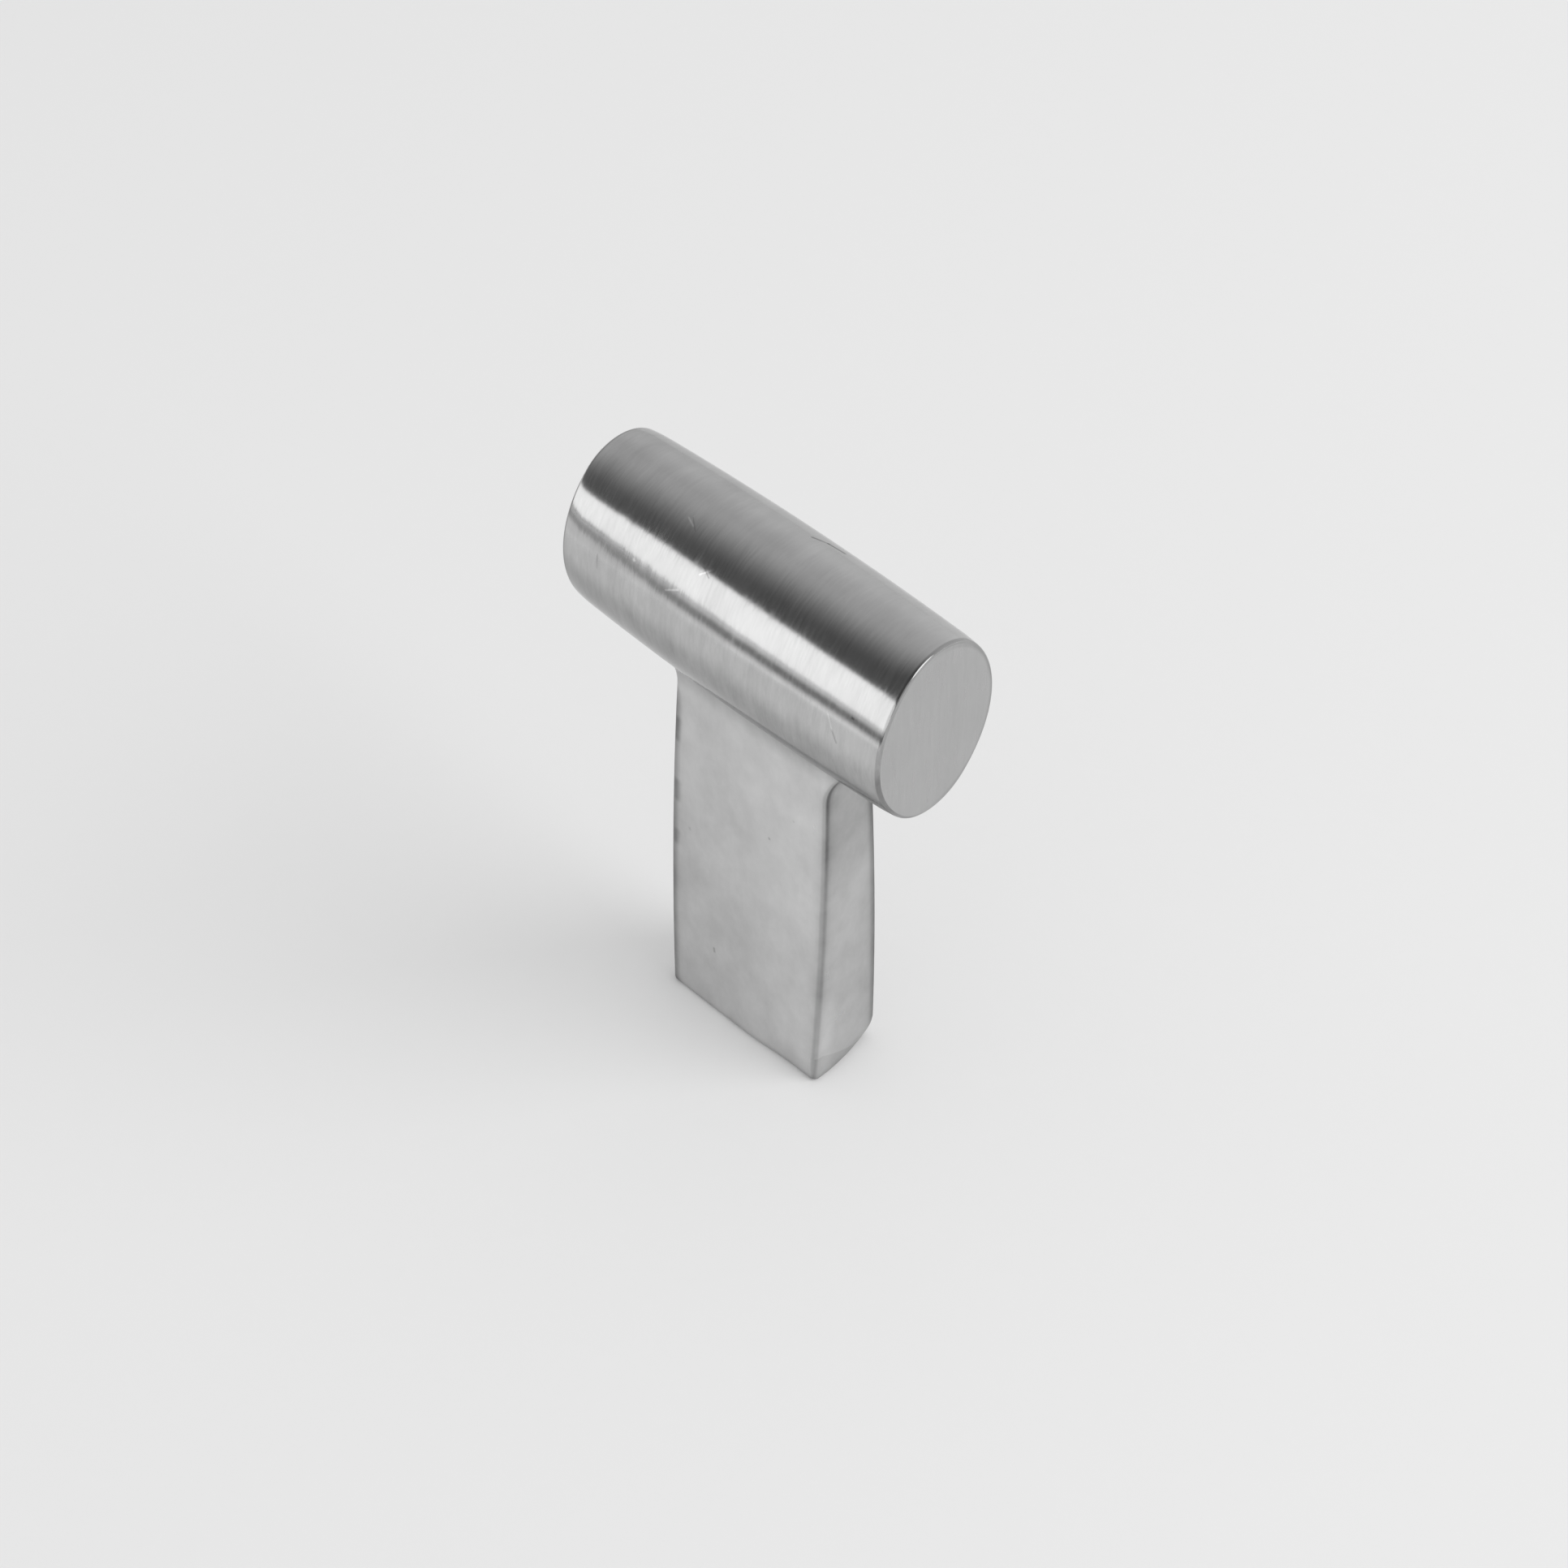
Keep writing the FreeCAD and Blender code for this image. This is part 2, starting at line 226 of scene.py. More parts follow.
def stem_outline(sizes, z, inset=0.0):
    """Points (x, y) of the stem's section at each height z, one column after another, and their normals.

    The section is a quadrant mirrored twice: an arc of the bulging narrow side, an arc
    of the corner tangent to it, and half of the flat broad side.
    """
    place, sign_x, sign_y = loop_columns()
    half_width, half_thick = stem_halves(sizes, z)
    half_width, half_thick = half_width - inset, half_thick - inset
    side = sizes["side_radius"]
    corner = np.maximum(sizes["corner_radius"] - inset, LEAST_CORNER)
    side_x, corner_x, corner_y = stem_centres(sizes, half_width, half_thick, corner)
    lean = np.arctan2(corner_y, corner_x - side_x)
    corner_end = SIDE_STEPS + CORNER_STEPS
    on_side, on_corner = place <= SIDE_STEPS, place <= corner_end
    angle = np.where(on_side, lean * place / SIDE_STEPS,
                     lean + (math.pi / 2 - lean) * (place - SIDE_STEPS) / CORNER_STEPS)
    x = np.where(on_side, side_x + side * np.cos(angle), corner_x + corner * np.cos(angle))
    y = np.where(on_side, side * np.sin(angle), corner_y + corner * np.sin(angle))
    x = np.where(on_corner, x, corner_x * (QUADRANT - place) / (QUADRANT - corner_end))
    y = np.where(on_corner, y, half_thick)
    angle = np.where(on_corner, angle, math.pi / 2)
    outward = np.stack([np.cos(angle) * sign_x, np.sin(angle) * sign_y], -1)
    return np.stack([x * sign_x, y * sign_y], -1), outward


def ease(value):
    """0 below 0, 1 above 1, and 3 v v - 2 v v v between."""
    value = np.clip(value, 0, 1)
    return value * value * (3 - 2 * value)


def polished_foot(sizes, outline, z):
    """How far the polishing moved a point of the outline, in x and y.

    It took off most at the foot, in proportion to (1 - z / height) to the power 1.5.
    The narrow side goes in more towards the back, and the broad side towards the near corner;
    what lies further in moves less, so that nothing folds.
    """
    x, y = outline[..., 0], outline[..., 1]
    left_over = np.clip(1 - z / sizes["facet_height"], 0, 1) ** 1.5
    more_at_back = 0.135
    side = (sizes["side_cut"] + more_at_back * y) * ease((x - 3.5) / 4)
    front = sizes["front_cut"] * ease((x - 0.5) / 5) * ease(-y / 3)
    return np.stack([-side, front], -1) * left_over[..., None]


def stem_points(sizes, z, inset=0.0):
    """Points of the stem's skin at height z, and their outward normals in the level plane."""
    outline, outward = stem_outline(sizes, z, inset)
    height = np.broadcast_to(z, outline.shape[:-1])
    shift = polished_foot(sizes, outline, height)
    return np.concatenate([outline + shift, height[..., None]], -1), outward


def neck_ring(sizes):
    """Where the fillet starts on the stem, its centre, and where it ends on the bar.

    A ball of the fillet's radius touches both: its centre lies the radius out from the
    stem, and at the crown's radius plus its own from the middle of the crown's arc.
    """
    ball, crown, cap = sizes["neck_fillet"], sizes["crown_radius"], sizes["cap_radius"]
    cap_z = sizes["axis_height"] - sizes["bar_depth"] / 2 + cap
    z = np.full(COLUMNS, cap_z - cap - ball / 2)
    step = 0.01
    # Each round lifts the ball by its gap to the bar; thirty leave none.
    for _ in range(30):
        points, outward = stem_points(sizes, z)
        above, _ = stem_points(sizes, z + step)
        growth = ((above - points)[:, :2] / step * outward).sum(1)
        normal = np.concatenate([outward, -growth[:, None]], 1)
        normal /= np.linalg.norm(normal, axis=1)[:, None]
        centre = points + ball * normal
        spread = cap - crown + np.sqrt((crown + ball) ** 2 - centre[:, 0] ** 2)
        z = z + cap_z - np.sqrt(spread ** 2 - centre[:, 1] ** 2) - centre[:, 2]
    lean = np.arcsin(centre[:, 0] / (crown + ball))
    swing = np.arcsin(centre[:, 1] / spread)
    touch_x, touch_fall = crown * np.sin(lean), crown - crown * np.cos(lean)
    touch = bar_points(sizes, touch_x, 1.5 * math.pi + swing, touch_fall)
    return points, centre, touch, touch_x, swing


class Skin:
    """Points and faces of the closed skin, gathered ring by ring."""

    def __init__(self):
        self.points, self.faces, self.zones = [], [], []
        self.count = 0

    def add(self, points):
        """Keeps an array of points and returns their numbers in the same layout."""
        points = np.asarray(points, float)
        numbers = self.count + np.arange(points[..., 0].size).reshape(points.shape[:-1])
        self.points.append(points.reshape(-1, 3))
        self.count += numbers.size
        return numbers

    def places(self, numbers):
        """The points that have these numbers."""
        return np.concatenate(self.points)[numbers]

    def cover(self, rows, zone, keep=None):
        """Four-sided faces between rows that close on themselves."""
        after = np.roll(rows, -1, axis=1)
        quads = np.stack([rows[:-1], after[:-1], after[1:], rows[1:]], -1)
        quads = quads[keep] if keep is not None else quads.reshape(-1, 4)
        self.faces.append(quads)
        self.zones.append(np.full(len(quads), zone))

    def close(self, ring, pole, zone, first):
        """Three-sided faces between a ring and its pole, which comes first or last."""
        after = np.roll(ring, -1)
        tips = np.full(len(ring), pole)
        order = [tips, after, ring] if first else [ring, after, tips]
        self.faces.append(np.stack(order, -1))
        self.zones.append(np.full(len(ring), zone))


BAR, END, STEM, BORE = range(4)


def circles(radius, z):
    """Points of level circles about the stem's axis, one for each column; both sizes may be arrays."""
    radius, z, turn = np.broadcast_arrays(radius, z, COLUMN_TURN)
    return np.stack([radius * np.cos(turn), radius * np.sin(turn), z], -1)


def add_bar(skin, sizes, x, fall):
    """The bar without its end faces and the opening under it; returns the numbers of its points."""
    turn = np.arange(TURN_STEPS) / TURN_STEPS * 2 * math.pi
    rows = skin.add(bar_points(sizes, x[:, None], turn[None, :], fall[:, None]))
    middle_x = (x[:-1] + x[1:]) / 2
    middle_turn = (np.arange(TURN_STEPS) + 0.5) / TURN_STEPS * 360 - 270
    open_x = np.abs(middle_x) < HOLE_HALF_X * CROWN_STEP
    open_turn = np.abs(middle_turn) < HOLE_HALF_TURN * 360 / TURN_STEPS
    skin.cover(rows, BAR, ~(open_x[:, None] & open_turn[None, :]))
    return rows


def add_end(skin, sizes, rim, side):
    """The flat end face on one side, -1 or 1: smaller and smaller copies of its rim, and a pole."""
    hub = np.array([side * sizes["bar_length"] / 2, 0, sizes["axis_height"]])
    rings = skin.add(hub + (skin.places(rim) - hub) * END_SHARES)
    pole = skin.add(hub)
    skin.cover(np.concatenate([rim[None], rings])[::side], END)
    skin.close(rings[-1], int(pole), END, side < 0)


def add_hole(skin, sizes):
    """The threaded hole, from its drill point down to its mouth; returns the mouth's ring.

    The thread's radius is the bore's plus its depth times a tooth, which is
    1.25 - 1.6 |2 phase - 1| kept from 0 to 1, with the phase the part of a whole turn in
    height / pitch - turn.  It runs out at both ends.
    """
    bore, mouth, depth = sizes["tap_bore"] / 2, sizes["mouth_width"] / 2, sizes["tap_depth"]
    point_height = bore / math.tan(DRILL_ANGLE / 2)
    sink = mouth - bore
    pitch = sizes["thread_pitch"]
    tip = skin.add(np.array([0, 0, depth + point_height]))
    wall = skin.add(np.stack([
        circles(bore * 0.4, depth + point_height * 0.6), circles(bore * 0.95, depth + point_height * 0.05),
        circles(bore, depth), circles(bore, depth - 0.1)]))
    thread_z = np.arange(depth - THREAD_END, sink + THREAD_START, -pitch / THREAD_STEPS)[:, None]
    phase = (thread_z / pitch - COLUMN_TURN / (2 * math.pi)) % 1
    tooth = np.clip(1.25 - np.abs(phase * 2 - 1) * 1.6, 0, 1)
    run_out = (np.clip((depth - 0.2 - thread_z) / pitch, 0, 1)
               * np.clip((thread_z - sink) / (0.5 * pitch), 0, 1))
    thread = skin.add(circles(bore + sizes["thread_depth"] * tooth * run_out, thread_z))
    flare = skin.add(np.stack([circles(bore, sink), circles(mouth - 0.04, 0.04), circles(mouth, 0)]))
    skin.close(wall[0], int(tip), BORE, True)
    skin.cover(np.concatenate([wall, thread, flare]), BORE)
    return flare[-1]


def fillet_points(sizes, start, centre, touch):
    """Rows of the fillet's arcs, from the stem to the bar.

    A point is centre + radius (sin((1 - part) angle) inner + sin(part angle) outer) / sin(angle),
    where inner and outer point from the ball's centre to where it touches stem and bar.
    """
    ball = sizes["neck_fillet"]
    inner, outer = (start - centre) / ball, (touch - centre) / ball
    between = np.arccos(np.clip((inner * outer).sum(1), -1, 1))[:, None]
    part = np.linspace(0, 1, FILLET_ROWS)[:, None, None]
    return centre + ball * (
        np.sin((1 - part) * between) * inner + np.sin(part * between) * outer) / np.sin(between)


def add_stem(skin, sizes, mouth, start, fillet):
    """Foot, rounding, stem and fillet, from the hole's mouth up; returns the fillet's last ring."""
    rounding = sizes["foot_round"]
    rounds = np.stack([
        stem_points(sizes, np.full(COLUMNS, rounding * (1 - math.cos(a))), rounding * (1 - math.sin(a)))[0]
        for a in np.linspace(0, math.pi / 2, FOOT_ROWS)])
    inner = skin.places(mouth)
    foot_rows = skin.add(inner + (rounds[0] - inner) * FOOT_SHARES)
    round_rows = skin.add(rounds)
    # Close rows where the polishing curves the foot, and wider ones above.
    curved, rows_curved, rows_above = 0.06, 13, 60
    climb = np.concatenate([
        np.linspace(0, curved, rows_curved)[1:], np.linspace(curved, 1, rows_above)[1:-1]])[:, None]
    stem_rows = skin.add(stem_points(sizes, rounding + (start[:, 2] - rounding) * climb)[0])
    fillet_rows = skin.add(fillet)
    skin.cover(np.concatenate([mouth[None], foot_rows, round_rows, stem_rows, fillet_rows[:1]]), STEM)
    skin.cover(fillet_rows, STEM)
    return fillet_rows[-1]


def add_neck(skin, sizes, x, rows, fillet, touch_x, swing):
    """The bar's own surface between the fillet and the edge of the opening under the bar."""
    centre_row, centre_turn = len(x) // 2, TURN_STEPS * 3 // 4
    place, sign_x, sign_y = loop_columns()
    border_row = centre_row + sign_x * np.minimum(HOLE_HALF_X, QUADRANT - place)
    border_turn = centre_turn + sign_y * np.minimum(HOLE_HALF_TURN, place)
    border = rows[border_row, border_turn]
    part = (np.arange(1, 8) / 8)[:, None]
    patch_x = touch_x + (x[border_row] - touch_x) * part
    border_swing = (border_turn - centre_turn) / TURN_STEPS * 2 * math.pi
    patch_turn = 1.5 * math.pi + swing + (border_swing - swing) * part
    crown = sizes["crown_radius"]
    patch_fall = crown - np.sqrt(crown ** 2 - patch_x ** 2)
    patch_rows = skin.add(bar_points(sizes, patch_x, patch_turn, patch_fall))
    skin.cover(np.concatenate([fillet[None], patch_rows, border[None]]), BAR)


def knob_skin(sizes):
    """The whole knob as one closed skin, in millimetres, with the finish zone of each face."""
    skin = Skin()
    x, fall = bar_profile(sizes)
    rows = add_bar(skin, sizes, x, fall)
    add_end(skin, sizes, rows[0], -1)
    add_end(skin, sizes, rows[-1], 1)
    start, centre, touch, touch_x, swing = neck_ring(sizes)
    mouth = add_hole(skin, sizes)
    fillet = add_stem(skin, sizes, mouth, start, fillet_points(sizes, start, centre, touch))
    add_neck(skin, sizes, x, rows, fillet, touch_x, swing)
    return skin


def build_mesh(name, skin):
    """A mesh of the skin, without the points that no face uses."""
    points = np.concatenate(skin.points)
    corners = np.concatenate([faces.ravel() for faces in skin.faces])
    used, numbers = np.unique(corners, return_inverse=True)
    lengths = np.concatenate([np.full(len(faces), faces.shape[1]) for faces in skin.faces])
    starts = np.concatenate([[0], np.cumsum(lengths)[:-1]])
    mesh = bpy.data.meshes.new(name)
    mesh.vertices.add(len(used))
    mesh.vertices.foreach_set("co", (points[used] * MM).ravel())
    mesh.loops.add(len(numbers))
    mesh.loops.foreach_set("vertex_index", numbers)
    mesh.polygons.add(len(lengths))
    mesh.polygons.foreach_set("loop_start", starts)
    mesh.polygons.foreach_set("material_index", np.concatenate(skin.zones))
    mesh.update(calc_edges=True)
    mesh.shade_smooth()
    if mesh.validate():
        raise RuntimeError("the skin had a faulty face")
    return mesh, points[used]


def corner_distance(sizes, points):
    """Distance in millimetres from the middle of the nearest upright corner, negative on the narrow side.

    Under the bar the line of the corners' painted shade curls on to the narrow side.
    """
    half_width, half_thick = stem_halves(sizes, np.clip(points[:, 2], 0, sizes["axis_height"]))
    corner = sizes["corner_radius"]
    _, corner_x, corner_y = stem_centres(sizes, half_width, half_thick, corner)
    middle = corner * math.cos(math.pi / 4)
    across = np.abs(points[:, 0]) - corner_x - middle
    along = np.abs(points[:, 1]) - corner_y - middle
    curl_start, curl_height, curl = 30.8, 3.6, 1.1
    curled = curl * ease((points[:, 2] - curl_start) / curl_height) ** 2
    return np.clip(np.hypot(across, along), 0, 5) * np.where(along > across, 1, -1) + curled


class Socket:
    """A shader value that takes part in arithmetic; each sign adds its Math node."""

    def __init__(self, nodes, output):
        self.nodes, self.output = nodes, output

    def math(self, operation, *values):
        """A Math node that starts from this value."""
        return self.nodes.add("ShaderNodeMath", {"operation": operation}, dict(enumerate((self, *values))))

    def __add__(self, other): return self.math("ADD", other)
    def __sub__(self, other): return self.math("SUBTRACT", other)
    def __mul__(self, other): return self.math("MULTIPLY", other)
    def __truediv__(self, other): return self.math("DIVIDE", other)
    def __pow__(self, other): return self.math("POWER", other)
    __radd__ = __add__
    __rmul__ = __mul__

    def __rsub__(self, other):
        return self.nodes.add("ShaderNodeMath", {"operation": "SUBTRACT"}, {0: other, 1: self})

    def other(self, name):
        """Another output of the same node."""
        return Socket(self.nodes, self.output.node.outputs[name])

    def size(self): return self.math("ABSOLUTE")

    def least(self, other): return self.math("MINIMUM", other)

    def towards(self, value, share):
        """Goes from this value to another as the share goes from 0 to 1."""
        return self + share * (value - self)

    def smooth(self, low, high, to_low=0.0, to_high=1.0):
        """Eases from to_low to to_high as the value goes from low to high."""
        return self.nodes.add(
            "ShaderNodeMapRange", {"interpolation_type": "SMOOTHSTEP"},
            {"Value": self, "From Min": low, "From Max": high, "To Min": to_low, "To Max": to_high})

    def slope(self, low, high, to_low=0.0, to_high=1.0):
        """Goes evenly from to_low to to_high as the value goes from low to high."""
        return self.nodes.add(
            "ShaderNodeMapRange", {"clamp": True},
            {"Value": self, "From Min": low, "From Max": high, "To Min": to_low, "To Max": to_high})


class Nodes:
    """A node tree that is written as expressions."""

    def __init__(self, tree):
        self.tree = tree
        tree.nodes.clear()

    def add(self, kind, settings=None, inputs=None, output=0):
        """One node: its settings first, then the values or links of its sockets."""
        node = self.tree.nodes.new(kind)
        for key, value in (settings or {}).items():
            setattr(node, key, value)
        for key, value in (inputs or {}).items():
            if isinstance(value, Socket):
                self.tree.links.new(value.output, node.inputs[key])
            else:
                node.inputs[key].default_value = value
        return Socket(self, node.outputs[output]) if len(node.outputs) else node

    def place(self, scale=(1000, 1000, 1000), shift=(0, 0, 0)):
        """Object coordinates, scaled and shifted: by a thousand they are millimetres."""
        here = self.add("ShaderNodeTexCoord", output="Object")
        return self.add("ShaderNodeMapping", {}, {"Vector": here, "Scale": scale, "Location": shift})

    def noise(self, scale, detail=2.0, roughness=0.5, shift=(0, 0, 0)):
        """Noise from 0 to 1 with so many cells to a millimetre along x, y and z."""
        spread = self.place([value * 1000 for value in scale], shift)
        return self.add("ShaderNodeTexNoise", {"normalize": True}, {
            "Vector": spread, "Scale": 1.0, "Detail": detail, "Roughness": roughness})

    def parts(self, vector):
        """The x, y and z of a vector."""
        x = self.add("ShaderNodeSeparateXYZ", {}, {0: vector})
        return x, x.other("Y"), x.other("Z")

    def vector_math(self, operation, first, second=None, output=0, scale=None):
        """A Vector Math node."""
        inputs = {0: first}
        if second is not None:
            inputs[1] = second
        if scale is not None:
            inputs["Scale"] = scale
        return self.add("ShaderNodeVectorMath", {"operation": operation}, inputs, output)

    def grey(self, value):
        """A grey colour from a value."""
        return self.add("ShaderNodeCombineColor", {}, {0: value, 1: value, 2: value})

    def near_line(self, here, start, end, width):
        """1 on the straight line from start to end, easing to 0 at its width in millimetres.

        The nearest place on the line is start + t (end - start), with t the dot product
        of (here - start) and (end - start) over the length squared, kept from 0 to 1.
        """
        along = Vector(end) - Vector(start)
        offset = self.vector_math("SUBTRACT", here, tuple(start))
        share = self.vector_math("DOT_PRODUCT", offset, tuple(along), output="Value")
        t = share.slope(0, max(along.length_squared, 1e-6))
        foot = self.vector_math("SCALE", tuple(along), scale=t)
        gap = self.vector_math("DISTANCE", offset, foot, output="Value")
        return gap.smooth(width, 0)

    def tinted(self, colour, shade):
        """A colour times a grey shade."""
        return self.add("ShaderNodeMix", {"data_type": "RGBA", "blend_type": "MULTIPLY"},
                        {0: 1.0, 6: (*colour, 1), 7: self.grey(shade)}, output=2)


# Marks of use and cloudy patches: where each starts and ends in millimetres, its half width,
# and how much lighter or darker it is.
BAR_MARKS = [
    ((-6.0, -2.45, 50.56), (-5.29, -2.72, 50.4), 0.13, 0.4),
    ((-5.7, -2.3, 50.62), (-4.9, -2.9, 50.3), 0.10, -0.21),
    ((-2.65, -4.21, 49.03), (-1.98, -4.46, 48.7), 0.12, -0.30),
    ((-2.78, -4.56, 48.55), (-2.01, -4.11, 49.15), 0.12, 0.3),
    ((-5.11, -5.72, 46.31), (-4.07, -5.51, 46.86), 0.14, 0.45),
    ((-8.63, -5.46, 46.77), (-8.6, -5.46, 46.76), 0.21, 0.52),
    ((1.84, 2.05, 50.81), (2.9, 2.62, 50.52), 0.17, -0.55),
    ((2.9, 2.62, 50.52), (4.29, 2.8, 50.36), 0.19, -0.75),
    ((11.15, -5.86, 45.39), (11.75, -6.05, 44.35), 0.12, 0.20),
    ((11.75, -6.05, 44.35), (12.21, -6.12, 43.55), 0.16, -0.30),
    ((13.15, -5.54, 46.18), (13.25, -5.54, 46.18), 0.16, -0.45),
    ((-12.12, -5.9, 45.3), (-12.0, -6.0, 44.2), 0.16, -0.21),
]
STEM_MARKS = [
    ((-3.25, -3.35, 7.3), (-3.2, -3.35, 6.95), 0.21, -0.39),
    ((2.4, -2.8, 23.93), (2.42, -2.8, 23.9), 0.19, -0.39),
    ((4.83, -2.68, 27.53), (4.85, -2.68, 27.5), 0.16, -0.21),
    ((-6.14, -2.97, 18.8), (-6.1, -2.97, 18.7), 0.20, -0.21),
    ((-7.6, -2.6, 27.6), (-7.5, -2.65, 29.4), 0.65, -0.3),
    ((-7.5, -2.8, 21.2), (-7.55, -2.8, 22.8), 0.7, -0.28),
    ((-7.6, -2.9, 16.4), (-7.5, -2.9, 17.4), 0.6, -0.28),
    ((-7.2, -3.1, 12.5), (-5.2, -3.0, 15.0), 3.2, -0.09),
    ((8.2, -1.3, 27.0), (8.3, -0.6, 21.5), 2.4, -0.12),
    ((8.1, -2.6, 4.5), (8.15, -2.5, 9.5), 1.5, 0.09),
]


def marked(nodes, marks):
    """How much lighter or darker the marks make the metal."""
    here = nodes.place()
    shade = None
    for start, end, width, change in marks:
        one = nodes.near_line(here, start, end, width) * change
        shade = one if shade is None else shade + one
    return shade


def metal_material(name, colour, shade, roughness, height, bump):
    """A metal: colour times shade, with its roughness and a bump height in millimetres."""
    material = bpy.data.materials.new(name)
    material.use_nodes = True
    nodes = Nodes(material.node_tree)
    shade, roughness, height = shade(nodes), roughness(nodes), height(nodes)
    surface = nodes.add("ShaderNodeBump", {}, {"Strength": bump, "Distance": MM, "Height": height})
    shader = nodes.add("ShaderNodeBsdfPrincipled", {}, {
        "Base Color": nodes.tinted(colour, shade), "Metallic": 1.0, "Roughness": roughness,
        "Specular Tint": (0.8, 0.8, 0.8, 1), "Normal": surface})
    nodes.add("ShaderNodeOutputMaterial", {}, {"Surface": shader})
    return material


def brushed_bar(finish, sizes):
    """Brushed round the bar: fine lines across its axis, with marks of use.

    The lines are strongest in patches low on the top (deep) and on the front below the
    bright band (low).  Round the stem's fillet they fade into the stem's soft polish.
    """
    def polish(nodes):
        x, y, z = nodes.parts(nodes.place())
        return z.smooth(39.2, 36.5) * x.size().smooth(13.4, 11.4)

    def shade(nodes):
        patch = nodes.noise((0.3, 0.3, 0.3), 2.0, 0.5, (0, 0, 9)).smooth(0.35, 0.65, 0.07, 0.24)
        streaks = nodes.noise((2.2, 0.4, 0.4), 5.0, 0.8)
        fine = nodes.noise((4.5, 0.4, 0.4), 3.0, 0.7, (0, 6, 0))
        broad = nodes.noise((0.5, 0.25, 0.25), 2.0)
        x, y, z = nodes.parts(nodes.place())
        deep = z.smooth(48.6, 49.4) * y.smooth(-1.0, -3.4) * patch * 2.1
        # Painted shade on the front of the bar's underside, easing off at its very bottom.
        under = z.smooth(43.9, 41.6) * z.smooth(36.8, 38.4, 0.2, 1) * y.smooth(0, -3) * 0.21
        # Painted shade: a dark line round the rim of each end.
        half_length = sizes.bar_length / 2 / MM
        rim = x.size().smooth(half_length - 0.34, half_length - 0.2) * 0.3
        low = z.smooth(45.8, 44.8) * 0.3
        brushing = (streaks - 0.5) * (patch + low) * (1 - polish(nodes)) + (fine - 0.5) * (deep + 0.12)
        return 1 + brushing + (broad - 0.5) * 0.24 - under - rim + marked(nodes, BAR_MARKS)

    def roughness(nodes):
        lines = nodes.noise((5.0, 0.6, 0.6), 3.0, 0.7, (5, 0, 0)).smooth(0.4, 0.7)
        patch = nodes.noise((0.35, 0.35, 0.35), 2.0, 0.5, (0, 5, 0)).smooth(0.38, 0.6, 0.25, 1.0)
        duller = polish(nodes) * (finish.stem_gloss - finish.bar_gloss)
        return finish.bar_gloss + lines * patch * 0.06 + duller

    def height(nodes):
        fine = nodes.noise((5, 0.4, 0.4), 3.0, 0.6, (3, 0, 0))
        wave = nodes.noise((0.5, 0.16, 0.16), 2.0, 0.5, (7, 0, 0))
        return fine * 0.005 + wave * 0.022
    return metal_material("Brushed bar", tuple(finish.metal), shade, roughness, height, 1.0)


# How far in millimetres the end face's oval lies inside the bar's.
END_INSET = 0.25


def brushed_end(finish, sizes):
    """The flat end faces, brushed upright, with a soft dark line inside the rim at the back."""
    def shade(nodes):
        streaks = nodes.noise((0.6, 4, 0.3), 4.0, 0.7)
        cloud = nodes.noise((0.3, 0.3, 0.2), 2.0, 0.5, (2, 0, 0))
        x, y, z = nodes.parts(nodes.place())
        across = y / (sizes.bar_width / 2 / MM - END_INSET)
        up = (z - sizes.axis_height / MM) / (sizes.bar_depth / 2 / MM - END_INSET)
        out = (across * across + up * up) ** 0.5
        ring = (out - 0.92).size().smooth(0.035, 0.0) * y.smooth(-2.0, 3.0)
        # Painted shade on the outermost ring of the end face, going on from the rim's painted dark line.
        edge = out.smooth(0.975, 1.0)
        # The base of 0.9 is painted shade: the same metal as the bar, made darker on the end faces.
        return 0.9 + (streaks - 0.5) * 0.16 + (cloud - 0.5) * 0.1 - ring * 0.12 - edge * 0.12

    def roughness(nodes):
        return 0.26 + (nodes.noise((1, 3, 0.3)) - 0.5) * 0.1

    def height(nodes):
        return nodes.noise((0.5, 5, 0.3), 3.0, 0.6) * 0.008
    return metal_material("Brushed end", tuple(finish.metal), shade, roughness, height, 1.0)


